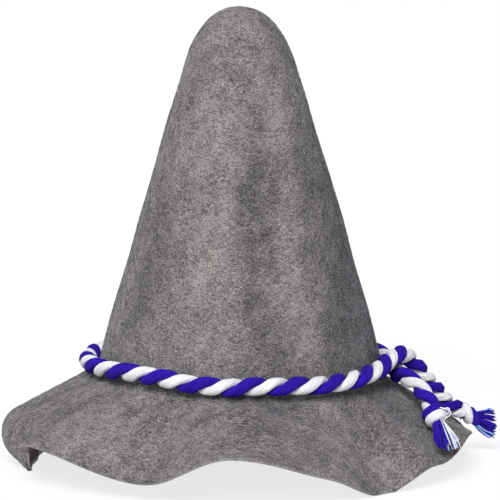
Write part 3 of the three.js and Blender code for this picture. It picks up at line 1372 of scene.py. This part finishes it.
@dataclass
class EndKnot:
    """The knot at a free end: strand wrapped round the cord in leaning turns."""

    end: CordEnd
    before: Vector
    wraps: tuple[Wrap, ...]
    rings: int = 72
    sides: int = 40
    threads: int = 14
    thread_depth: float = 0.0002

    def frame(self) -> Matrix:
        """The knot's own axes.

        Returns:
            The knot's place, with Z along the cord and X level.
        """
        ahead = (self.end.knot - self.before).normalized()
        level = Vector(UPWARD).cross(ahead).normalized()
        turn = Matrix((level, ahead.cross(level), ahead)).transposed()
        return Matrix.Translation(self.end.knot) @ turn.to_4x4()

    def wrap_point(self, axes: Matrix, wrap: Wrap, ring: int, share: float) -> SurfacePoint:
        """A point of one wrap's surface.

        Args:
            axes: The knot's own axes.
            wrap: Which wrap.
            ring: The step round the knot.
            share: The share of the way round the strand.

        Returns:
            The point, and its UV in metres along and round the strand.
        """
        around = FULL_TURN * (ring % self.rings) / self.rings
        angle = FULL_TURN * share
        ridge = ridge_at(angle, self.threads, self.thread_depth)
        out = wrap.radius + (wrap.half_thick + ridge) * math.cos(angle)
        along = (wrap.half_width + ridge) * math.sin(angle)
        point = Vector((out * math.cos(around), out * math.sin(around), along))
        lean = Euler((wrap.lean, 0, wrap.lean_way), "XYZ").to_matrix()
        point = lean @ point + Vector((0, 0, wrap.along))
        girth = math.pi * (wrap.half_width + wrap.half_thick)
        return axes @ point, (FULL_TURN * wrap.radius * ring / self.rings, share * girth)

    def build(self) -> bpy.types.Object:
        """Makes the wraps as one mesh.

        Returns:
            The wraps as one object.
        """
        axes = self.frame()
        shape = bmesh.new()
        for wrap in self.wraps:

            def place(ring: int, share: float) -> SurfacePoint:
                """A point of this wrap."""
                return self.wrap_point(axes, wrap, ring, share)

            tube_along(shape, self.rings + 1, self.sides, place, wrap.yarn.value, closed=True)
        bmesh.ops.recalc_face_normals(shape, faces=shape.faces)
        return finished(shape, f"{self.end.name}_knot_wraps", yarn_materials())

    def dress(self) -> bpy.types.Object:
        """Builds the knot and puts it in the place of its solid."""
        return fitted(self.build(), "white_yarn", f"knot_{self.end.name}")


@dataclass(frozen=True)
class NearMix:
    """The near tassel's threads: many blue ones in front, and behind them light ones with a few blue."""

    front: float = 0.60
    border: float = -0.1
    blue_behind: float = 0.14
    pale: float = 0.3

    def draw(self, dice: random.Random) -> tuple[float, Yarn]:
        """Draws one thread.

        Args:
            dice: The source of chance.

        Returns:
            Its place across the tassel, from -1 to 1, and its yarn.
        """
        if dice.random() < self.front:
            return dice.uniform(-1.0, self.border), Yarn.BLUE
        across = dice.uniform(self.border, 1.0)
        if dice.random() < self.blue_behind:
            return across, Yarn.BLUE
        return across, Yarn.PALE if dice.random() < self.pale else Yarn.WHITE


@dataclass(frozen=True)
class FarMix:
    """The far tassel's threads: blue, with some pale ones along both edges."""

    edge: float = 0.72
    pale: float = 0.5

    def draw(self, dice: random.Random) -> tuple[float, Yarn]:
        """Draws one thread.

        Args:
            dice: The source of chance.

        Returns:
            Its place across the tassel, from -1 to 1, and its yarn.
        """
        across = dice.uniform(-1.0, 1.0)
        return across, Yarn.PALE if abs(across) > self.edge and dice.random() < self.pale else Yarn.BLUE


NEAR_LOOPS = (
    ((0.0030, -0.0050, 0.0062), (0.0150, -0.0080, 0.0040), (0.0062, -0.0048, -0.0012)),
    ((0.0042, -0.0046, 0.0050), (0.0125, -0.0076, 0.0084), (0.0072, -0.0040, 0.0012)),
)


@dataclass
class Tassel:
    """Opened yarn beyond a knot: threads that leave a tight neck and fan out."""

    end: CordEnd
    before: Vector
    mix: NearMix | FarMix
    loops: tuple[Loop, ...] = ()
    threads: int = 110
    thread_radius: float = 0.00048
    neck: float = 0.0034
    neck_at: float = 0.004
    belly: float = 0.5
    belly_spread: float = 0.55
    belly_deep: float = 0.6
    shorter: float = 0.14
    longer: float = 0.08
    edge_shorter: float = 0.12
    stray: float = 0.1
    wave_places: float = 9.0
    wave_run: float = 2.2
    sway: float = 0.0007
    tip_girth: float = 0.55
    rings: int = 16
    sides: int = 6
    seed: int = 7

    def build(self) -> bpy.types.Object:
        """Makes the threads as one mesh.

        Returns:
            The threads as one object.
        """
        dice = random.Random(self.seed)
        noise.seed_set(self.seed)
        ahead = (self.end.knot - self.before).normalized()
        root = self.end.knot + ahead * self.neck_at
        wide = (self.end.wide_way - ahead * self.end.wide_way.dot(ahead)).normalized()
        deep = ahead.cross(wide).normalized()
        shape = bmesh.new()
        for _ in range(self.threads):
            across, yarn = self.mix.draw(dice)
            through = dice.uniform(-1, 1) * math.sqrt(1 - across**2)
            spread = wide * (across * self.end.wide) + deep * (through * self.end.deep)
            start = root + (wide * across + deep * through) * self.neck
            reach = 1 + dice.uniform(-self.shorter, self.longer) - self.edge_shorter * across**2
            reach -= self.end.slant * across
            stray = dice.uniform(1 - self.stray, 1 + self.stray)
            tip = root + (self.end.tip - root) * reach + spread * stray
            bow = root + (self.end.tip - root) * self.belly + spread * self.belly_spread
            bow += wide * (across * self.neck) + deep * (through * self.neck * self.belly_deep)
            self.add_thread(shape, (start, bow, tip), yarn, dice)
        for loop in self.loops:
            self.add_thread(shape, tuple(self.end.knot + Vector(point) for point in loop), Yarn.WHITE, dice)
        bmesh.ops.recalc_face_normals(shape, faces=shape.faces)
        return finished(shape, f"{self.end.name}_tassel_threads", yarn_materials())

    def add_thread(
        self, shape: bmesh.types.BMesh, points: tuple[Vector, Vector, Vector], yarn: Yarn, dice: random.Random
    ) -> None:
        """Adds one thread along a bow.

        Args:
            shape: The bmesh that takes it.
            points: The bow's start, its pull and its tip.
            yarn: The thread's yarn.
            dice: The source of its small waves.
        """
        start, pull, tip = points
        wave = Vector([dice.uniform(0, self.wave_places) for _ in range(3)])
        line = []
        for ring in range(self.rings):
            share = ring / (self.rings - 1)
            point = start * (1 - share) ** 2 + pull * (2 * share * (1 - share)) + tip * share**2
            sway = noise.noise_vector(wave + Vector((share * self.wave_run, 0, 0)))
            line.append(point + sway * (self.sway * share))
        path = Path(line, (tip - start).length / (self.rings - 1))

        def place(ring: int, share: float) -> SurfacePoint:
            """A point of this thread, whose last ring is drawn in.

            Args:
                ring: The step along the thread.
                share: The share of the way round it.

            Returns:
                The point, and its UV in metres along and round the thread.
            """
            girth = self.thread_radius * (1.0 if ring < len(path.distances) - 1 else self.tip_girth)
            angle = FULL_TURN * share
            point = path.points[ring] + path.side[ring] * (girth * math.cos(angle))
            point = point + path.up[ring] * (girth * math.sin(angle))
            return Vector(point), (float(path.distances[ring]) + wave.x, share * FULL_TURN * girth)

        tube_along(shape, len(path.distances), self.sides, place, yarn.value)

    def dress(self) -> bpy.types.Object:
        """Builds the tassel and puts it in the place of its solid."""
        return fitted(self.build(), "blue_yarn", f"tassel_{self.end.name}")


@dataclass(frozen=True)
class Lamp:
    """A wide lamp far off: its degrees round from the front and above level, its strength and its width."""

    name: str
    azimuth: float
    height: float
    strength: float
    width: float

    def hang(self) -> bpy.types.Object:
        """Hangs the lamp in the scene.

        Returns:
            The lamp's object.
        """
        lamp = bpy.data.lights.new(self.name, "SUN")
        lamp.energy, lamp.angle = self.strength, math.radians(self.width)
        holder = linked(self.name, lamp)
        turn, rise = math.radians(self.azimuth), math.radians(self.height)
        way = Vector((math.sin(turn) * math.cos(rise), -math.cos(turn) * math.cos(rise), math.sin(rise)))
        holder.rotation_euler = way.to_track_quat("Z", "Y").to_euler()
        return holder


LAMPS = (
    Lamp("key_lamp", -10.0, 40.0, 3.5, 32.0),
    Lamp("top_lamp", -60.0, 60.0, 0.25, 60.0),
)


@dataclass
class Studio:
    """The pale floor, the soft light and the camera at the photograph's angle."""

    aim: Vector = field(default_factory=lambda: Vector((0.0091, 0.0051, 0.1451)))
    distance: float = 2.5
    elevation: float = math.radians(8.0)
    lens: float = 266.7
    sensor: float = 36.0
    sight: float = 100.0
    floor_half: float = 30.0
    floor_colour: Colour = (0.24, 0.24, 0.24)
    floor_glow: float = 0.76
    floor_grain: Triple = (300.0, 300.0, 300.0)
    floor_surface: Surface = Surface(0.9, 0.0, 0.00002)
    world_strength: float = 0.24
    lamps: tuple[Lamp, ...] = LAMPS

    def set_camera(self) -> bpy.types.Object:
        """Stands the camera in front of the hat, a little above it.

        Returns:
            The camera.
        """
        lens = bpy.data.cameras.new("camera")
        lens.lens, lens.sensor_width, lens.clip_end = self.lens, self.sensor, self.sight
        camera = linked("camera", lens)
        back = Vector((0, -math.cos(self.elevation), math.sin(self.elevation)))
        camera.location = self.aim + back * self.distance
        camera.rotation_euler = (-back).to_track_quat("-Z", "Y").to_euler()
        bpy.context.scene.camera = camera
        return camera

    def lay_floor(self) -> bpy.types.Object:
        """Lays the floor that the brim stands on.

        Returns:
            The floor.
        """
        shape = bmesh.new()
        bmesh.ops.create_grid(shape, x_segments=1, y_segments=1, size=self.floor_half)
        board = NodeBoard("pale_floor")
        height = board.grain(board.place(Coordinates.OBJECT), UNTURNED, self.floor_grain)
        material = board.cover(self.floor_colour, self.floor_surface, height, self.floor_glow)
        floor = finished(shape, "floor", [material])
        return floor

    def hang_lights(self) -> None:
        """Sets the white surroundings and the soft lamps."""
        world = bpy.data.worlds.new("white_studio")
        world.use_nodes = True
        glow = world.node_tree.nodes["Background"]
        glow.inputs["Color"].default_value = full_colour(WHITE)
        glow.inputs["Strength"].default_value = self.world_strength
        bpy.context.scene.world = world
        for lamp in self.lamps:
            lamp.hang()
        bpy.context.scene.view_settings.view_transform = "Standard"
        bpy.context.scene.view_settings.look = "None"


def main() -> None:
    """Sets the camera, builds the ends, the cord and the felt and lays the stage."""
    logging.basicConfig(level=logging.INFO, format="%(name)s %(message)s")
    studio = Studio()
    studio.set_camera()
    made: list[bpy.types.Object] = []
    ends = (
        (NEAR_END, CORD_ROUTE[0].place(), NEAR_WRAPS, NearMix(), NEAR_LOOPS),
        (FAR_END, CORD_ROUTE[-1].place(), FAR_WRAPS, FarMix(), ()),
    )
    for end, before, wraps, mix, loops in ends:
        made.append(EndKnot(end, before, wraps).dress())
        made.append(Tassel(end, before, mix, loops).dress())
    made.append(TwistedCord().dress(made))
    made.extend(FeltBody().dress())
    for piece in made:
        LOG.info("%s: %d faces", piece.name, len(piece.data.polygons))
    studio.lay_floor()
    studio.hang_lights()


if __name__ == "__main__":
    main()
